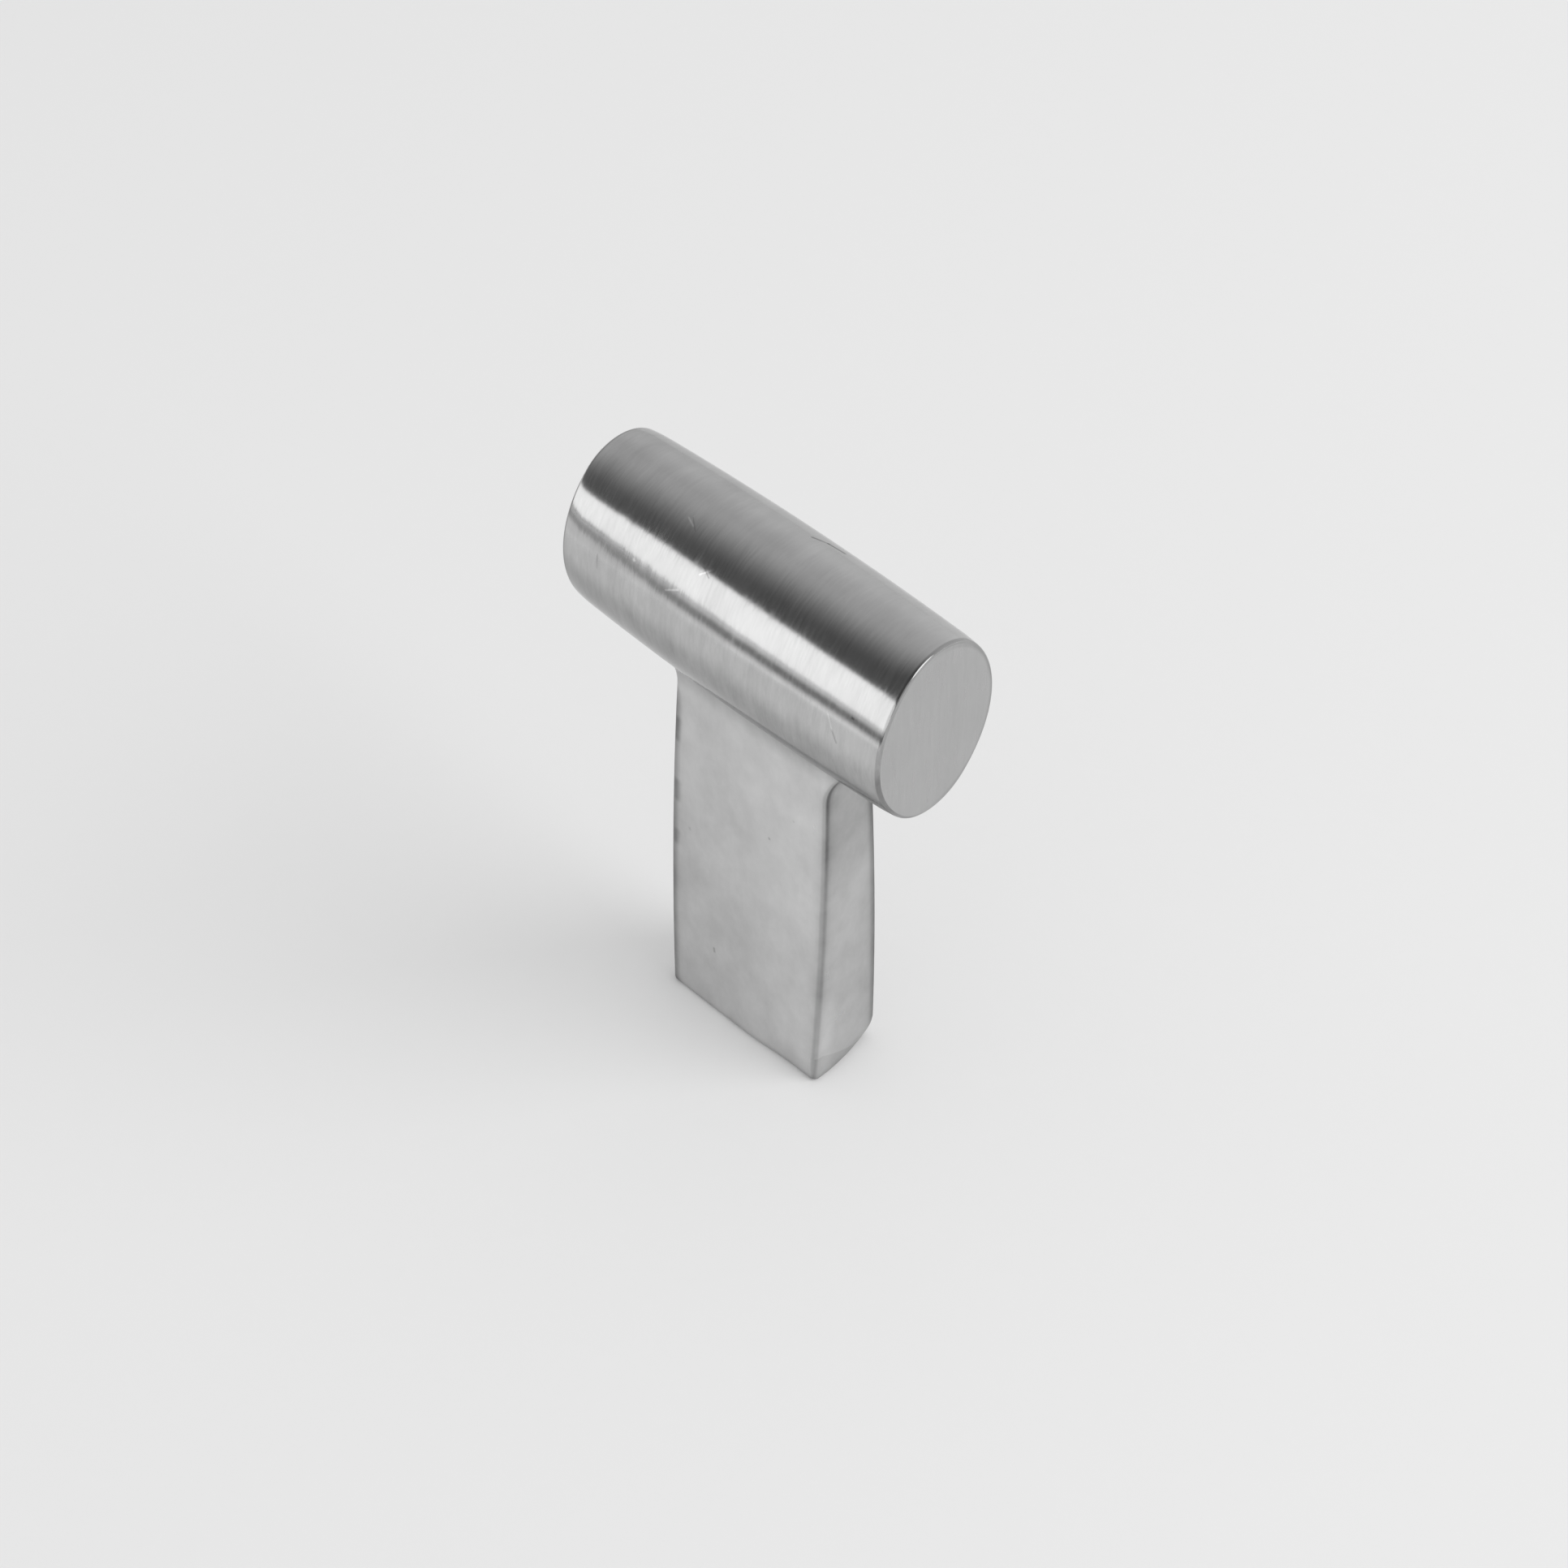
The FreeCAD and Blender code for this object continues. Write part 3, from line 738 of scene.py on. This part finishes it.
def polished_stem(finish, sizes):
    """Softly polished: clouded and a little pitted, with painted shade along its upright corners and round
    its foot.

    The corner attribute is the distance from the nearest corner, negative on the narrow side.
    """
    def shade(nodes):
        cloud = nodes.noise((0.16, 0.16, 0.12), 4.0, 0.6)
        mottle = nodes.noise((0.5, 0.5, 0.34), 4.0, 0.65, (0, 4, 0))
        corner = nodes.add("ShaderNodeAttribute", {"attribute_name": "corner"}, output="Fac")
        near = corner.size()
        x, y, z = nodes.parts(nodes.place())
        below_bar = z.smooth(34.6, 33.0)
        # Painted shade along the upright corners, fading out under the bar.
        line = (near.smooth(0.42, 0.12) * 0.3 + near.smooth(0.7, 0.35) * 0.08) * below_bar
        # Painted shade: a soft, wider darkening on both sides of each corner.
        painted_shoulder_shade = near.smooth(1.4, 0.4) * 0.08
        narrow = corner.smooth(0.1, -0.1) * below_bar
        # Painted shade and light on the narrow sides: darker overall and near one corner, lighter low down
        # near the other.
        side = narrow * (0.04 + near.smooth(3.5, 0.5) * (x * y).smooth(0, 8) * 0.06
                         - near.smooth(2.2, 0.6) * z.smooth(14, 5) * (x * y).smooth(0, -8) * 0.13)
        # Painted shade: a dark band round the bottom of the foot.
        foot = z.smooth(1.0, 0.15) * 0.2
        # Painted shade on the polished facet at the foot's near corner, with a crisp upper edge.
        facet_edge = y.slope(3.0, -2.6, 0.4, sizes.facet_height / MM)
        facet = (facet_edge - z).smooth(-0.03, 0.05) * narrow * x.smooth(6, 7)
        # Painted shade along the two corners where x and y have the same sign: the back of the +x narrow
        # side and the front of the -x one.
        painted_diagonal_corner_shade = near.smooth(0.95, 0.45) * (y * x).smooth(0, 4) * 0.24
        # Painted shade under the bar: on the narrow sides from half way up, and all round just below the
        # fillet.
        painted_shade_under_bar = z.smooth(20, 32.5) * narrow * 0.28 + z.smooth(32.8, 34.2) * 0.17
        # Painted light on the broad sides, growing towards +x and upwards.
        bright = x.slope(-7, 7) * z.slope(0, 28) * (1 - narrow) * 0.16
        # The base of 1.08 is painted light: the same metal as the bar, made lighter on the stem.
        return (1.08 + (cloud - 0.5) * 0.44 + (mottle - 0.5) * 0.32 + bright - line - painted_shoulder_shade - foot
                - facet * 0.14 - painted_diagonal_corner_shade - painted_shade_under_bar - side + marked(nodes, STEM_MARKS))

    def roughness(nodes):
        return finish.stem_gloss + (nodes.noise((0.3, 0.3, 0.2), 3.0) - 0.5) * 0.14

    def height(nodes):
        fine = nodes.noise((4, 4, 0.6), 2.0)
        wave = nodes.noise((0.22, 0.22, 0.14), 2.0)
        return fine * 0.004 + wave * 0.05
    return metal_material("Polished stem", tuple(finish.metal), shade, roughness, height, 1.0)


def bored_metal(finish, sizes):
    """The cut metal inside the hole, duller and darker."""
    def shade(nodes):
        return 0.7 + (nodes.noise((2, 2, 8), 2.0) - 0.5) * 0.2

    def roughness(nodes):
        return 0.38 + (nodes.noise((3, 3, 3)) - 0.5) * 0.1

    def height(nodes):
        return nodes.noise((2, 2, 14), 2.0) * 0.004
    return metal_material("Bored metal", tuple(finish.metal), shade, roughness, height, 1.0)


class KNOB_OT_body(bpy.types.Operator):
    """Build the knob's closed metal skin"""
    bl_idname = "knob.body"
    bl_label = "Build knob"

    def execute(self, context):
        settings = context.scene.knob_sizes
        sizes = {key: getattr(settings, key) / MM for key in KnobSizes.__annotations__}
        mesh, points = build_mesh("knob_body", knob_skin(sizes))
        attribute = mesh.attributes.new("corner", "FLOAT", "POINT")
        attribute.data.foreach_set("value", corner_distance(sizes, points))
        knob = bpy.data.objects.new("knob_body", mesh)
        context.scene.collection.objects.link(knob)
        finish = context.scene.knob_finish
        for make in (brushed_bar, brushed_end, polished_stem, bored_metal):
            mesh.materials.append(make(finish, settings))
        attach(knob, "root")
        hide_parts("knob")
        return {"FINISHED"}


# The stage, in metres: radius of the tent, and radius and height of the panel and the card.
TENT_RADIUS = 1.2
PANEL_RADIUS, PANEL_TOP, PANEL_SPREAD = 0.55, 0.05, 80
CARD_RADIUS, CARD_TOP, CARD_SPREAD = 0.11, 0.0355, 75
# Level direction to the front, where the bar mirrors what lies across from the camera.
FRONT_X, FRONT_Y = -0.51, -0.86
# Brightness of the strip low in front, of the window, and of what the metal throws on the floor.
STRIP, WINDOW, THROWN = 1.45, 2.2, 1.3
WINDOW_PLACE = (0.85, 0.04, 0.53)
# Grey of the backdrop; the softbox's width and place in metres.
BACKDROP = 0.8
SOFTBOX_SIZE, SOFTBOX_PLACE = 1.04, (0.884, 0.403, 0.65)
# The camera's azimuth, elevation and roll in degrees, and its place in millimetres.
CAMERA_ANGLES = (44.588, 46.018, 0.251)
CAMERA_PLACE = (124.866, -125.499, 209.452)


def frontward(x, y):
    """How far a place lies to the front."""
    return x * FRONT_X + y * FRONT_Y


def leftward(x, y):
    """How far a place lies to the left of the front, as the knob sees it."""
    return x * FRONT_Y + y * -FRONT_X


def glowing(name, light):
    """A material that gives off a grey light, worked out by light from the nodes.

    What the metal throws on the floor is even, so that it fills the floor's shadow.
    """
    material = bpy.data.materials.new(name)
    material.use_nodes = True
    nodes = Nodes(material.node_tree)
    bounced = nodes.add("ShaderNodeLightPath", output="Diffuse Depth").least(1)
    shine = light(nodes).towards(THROWN, bounced)
    emission = nodes.add("ShaderNodeEmission", {}, {"Color": nodes.grey(shine), "Strength": 1.0})
    nodes.add("ShaderNodeOutputMaterial", {}, {"Surface": emission})
    return material


def tent_light(nodes):
    """The light tent that the metal mirrors, by the direction from the knob.

    The turn goes from 0 at the horizon in front, over 90 overhead, to 180 at the horizon
    behind: a bright strip low in front, a dark gap above it that fades upwards, an
    even grey over the rest and a small bright window to the right.
    """
    here = nodes.vector_math("NORMALIZE", nodes.place((1, 1, 1)))
    x, y, z = nodes.parts(here)
    front, left = frontward(x, y), leftward(x, y)
    turn = z.math("ARCTAN2", front) * (180 / math.pi)
    gap = (turn * 0.61 + left * 60 + 6.4).smooth(26, 92, 0.105, 0.52)
    light = gap + turn.slope(90, 130, 0, 0.16) + turn.slope(130, 170, 0, 0.12)
    strip = (turn + left * 13 + left.smooth(0.11, 0.16, 0, 2.4)).smooth(23.4, 20.8)
    beside = left.size().smooth(0.75, 0.98) * front.smooth(0.5, 0.2)
    window = nodes.vector_math("DOT_PRODUCT", here, WINDOW_PLACE, output="Value").smooth(0.93, 0.97)
    return light.towards(STRIP, strip).towards(0.62, beside).towards(WINDOW, window)


def panel_light(nodes):
    """The lower part of the bright strip, down to the floor, but less far down on the left."""
    x, y, z = nodes.parts(nodes.place())
    left = leftward(x, y) / (PANEL_RADIUS / MM)
    return (z - left.smooth(0.04, 0.12, -6, 16)).smooth(-3, 12, 0.42, STRIP)


def card_light(nodes):
    """A low grey card: a dark band two thirds up, between a lighter foot and a lighter top.

    On the left the band is paler, and narrower because the foot reaches higher, and the
    top is darker.
    """
    x, y, z = nodes.parts(nodes.place())
    left = leftward(x, y) / (CARD_RADIUS / MM)
    band = left.smooth(-0.1, 0.15, 0.2, 0.36)
    foot = (z - left.smooth(0.08, 0.25, 0, 11)).smooth(19, 11)
    glow = (z - 6).size().smooth(6, 1) * left.smooth(0.15, -0.1, 0.06, 0.26)
    top = z.smooth(25, 33)
    return band + foot * (0.8 + glow - band) + top * (left.smooth(0, 0.18, 0.8, 0.42) - band)


def floor_material(colour):
    """A pale matt floor with a very faint grain."""
    material = bpy.data.materials.new("Pale floor")
    material.use_nodes = True
    nodes = Nodes(material.node_tree)
    shade = 1 + (nodes.noise((0.4, 0.4, 0.4), 2.0) - 0.5) * 0.006
    shader = nodes.add("ShaderNodeBsdfPrincipled", {}, {
        "Base Color": nodes.tinted(colour, shade), "Roughness": 0.9, "Specular IOR Level": 0.0})
    nodes.add("ShaderNodeOutputMaterial", {}, {"Surface": shader})
    return material


def sheet_object(context, name, rows, material):
    """A stage surface from a grid of points."""
    count, across = rows.shape[:2]
    numbers = np.arange(count * across).reshape(count, across)
    quads = np.stack([numbers[:-1, :-1], numbers[:-1, 1:], numbers[1:, 1:], numbers[1:, :-1]], -1)
    mesh = bpy.data.meshes.new(name)
    mesh.from_pydata(rows.reshape(-1, 3).tolist(), [], quads.reshape(-1, 4).tolist())
    mesh.shade_smooth()
    mesh.materials.append(material)
    item = bpy.data.objects.new(name, mesh)
    context.scene.collection.objects.link(item)
    return item


def build_floor(context, colour):
    """A level floor under the knob's foot."""
    across, along = np.meshgrid(np.linspace(-1.5, 1.5, 3), np.linspace(-1.5, 1.5, 3))
    rows = np.stack([across, along, np.zeros_like(across)], -1)
    sheet_object(context, "floor", rows, floor_material(colour))


def build_tent(context):
    """The tent's dome, and the panel and the card in front: only the metal's reflections see them."""
    turn, rise = np.meshgrid(np.linspace(0, 2 * math.pi, 97), np.linspace(0, math.pi / 2, 33))
    dome = TENT_RADIUS * np.stack(
        [np.cos(turn) * np.cos(rise), np.sin(turn) * np.cos(rise), np.sin(rise)], -1)
    sheets = [sheet_object(context, "light_tent", dome, glowing("Light tent", tent_light))]
    front = math.atan2(FRONT_Y, FRONT_X)
    for name, radius, top, spread, light in (
            ("front_panel", PANEL_RADIUS, PANEL_TOP, PANEL_SPREAD, panel_light),
            ("grey_card", CARD_RADIUS, CARD_TOP, CARD_SPREAD, card_light)):
        turn, z = np.meshgrid(front + np.radians(np.linspace(-spread, spread, 65)), [0, top])
        curved = np.stack([radius * np.cos(turn), radius * np.sin(turn), z], -1)
        sheets.append(sheet_object(context, name, curved, glowing(name, light)))
    for sheet in sheets:
        sheet.visible_camera = False
        sheet.visible_diffuse = False
        sheet.visible_shadow = False
        sheet.visible_transmission = False


def build_lamp(scene, power):
    """A round softbox behind the knob on the right, which throws the soft shadow."""
    data = bpy.data.lights.new("softbox", "AREA")
    data.shape = "DISK"
    data.size = SOFTBOX_SIZE
    data.energy = power
    lamp = bpy.data.objects.new("softbox", data)
    lamp.location = SOFTBOX_PLACE
    lamp.rotation_mode = "QUATERNION"
    lamp.rotation_quaternion = Vector(SOFTBOX_PLACE).to_track_quat("Z", "Y")
    lamp.visible_glossy = False
    scene.collection.objects.link(lamp)


def build_world(scene, sky):
    """Even light on the floor; the camera and the metal see a pale grey instead."""
    world = bpy.data.worlds.new("Studio")
    scene.world = world
    world.use_nodes = True
    nodes = Nodes(world.node_tree)
    rays = nodes.add("ShaderNodeLightPath", output="Is Camera Ray")
    seen = (rays + rays.other("Is Glossy Ray") + rays.other("Is Transmission Ray")).least(1.0)
    background = nodes.add("ShaderNodeBackground", {}, {
        "Color": nodes.grey(seen * (BACKDROP - sky) + sky), "Strength": 1.0})
    nodes.add("ShaderNodeOutputWorld", {}, {"Surface": background})


def build_camera(scene, focal):
    """The camera, looking down on the knob over the near end of its bar."""
    azimuth, elevation, roll = (math.radians(value) for value in CAMERA_ANGLES)
    back = Vector((math.sin(azimuth) * math.cos(elevation),
                   -math.cos(azimuth) * math.cos(elevation), math.sin(elevation)))
    right = Vector((math.cos(azimuth), math.sin(azimuth), 0))
    up = back.cross(right)
    rolled_right = math.cos(roll) * right + math.sin(roll) * up
    rolled_up = -math.sin(roll) * right + math.cos(roll) * up
    view = bpy.data.cameras.new("camera")
    view.sensor_width = 36
    view.lens = focal
    view.clip_start, view.clip_end = 0.01, 10
    camera = bpy.data.objects.new("camera", view)
    camera.location = Vector(CAMERA_PLACE) * MM
    camera.rotation_mode = "QUATERNION"
    camera.rotation_quaternion = Matrix((rolled_right, rolled_up, back)).transposed().to_quaternion()
    scene.collection.objects.link(camera)
    scene.camera = camera


class KNOB_OT_stage(bpy.types.Operator):
    """Build the floor, the soft light and the camera"""
    bl_idname = "knob.stage"
    bl_label = "Build stage"

    def execute(self, context):
        scene, stage = context.scene, context.scene.knob_stage
        build_floor(context, tuple(stage.floor))
        build_tent(context)
        build_lamp(scene, stage.lamp)
        build_world(scene, stage.sky)
        build_camera(scene, stage.focal)
        scene.view_settings.view_transform = "Standard"
        return {"FINISHED"}


class KNOB_PT_panel(bpy.types.Panel):
    """The knob's settings and operators"""
    bl_idname = "KNOB_PT_panel"
    bl_label = "Knob"
    bl_space_type = "VIEW_3D"
    bl_region_type = "UI"
    bl_category = "Knob"

    def draw(self, context):
        layout = self.layout
        for operator in (KNOB_OT_body, KNOB_OT_stage):
            layout.operator(operator.bl_idname)
        scene = context.scene
        for group, owner in ((scene.knob_sizes, KnobSizes), (scene.knob_finish, KnobFinish),
                             (scene.knob_stage, KnobStage)):
            for key in owner.__annotations__:
                layout.prop(group, key)


CLASSES = (KnobSizes, KnobFinish, KnobStage, KNOB_OT_body, KNOB_OT_stage, KNOB_PT_panel)


def register():
    for item in CLASSES:
        bpy.utils.register_class(item)
    bpy.types.Scene.knob_sizes = PointerProperty(type=KnobSizes)
    bpy.types.Scene.knob_finish = PointerProperty(type=KnobFinish)
    bpy.types.Scene.knob_stage = PointerProperty(type=KnobStage)


def unregister():
    del bpy.types.Scene.knob_sizes, bpy.types.Scene.knob_finish, bpy.types.Scene.knob_stage
    for item in reversed(CLASSES):
        bpy.utils.unregister_class(item)


def main():
    register()
    bpy.ops.knob.body()
    bpy.ops.knob.stage()


if __name__ == "__main__":
    main()
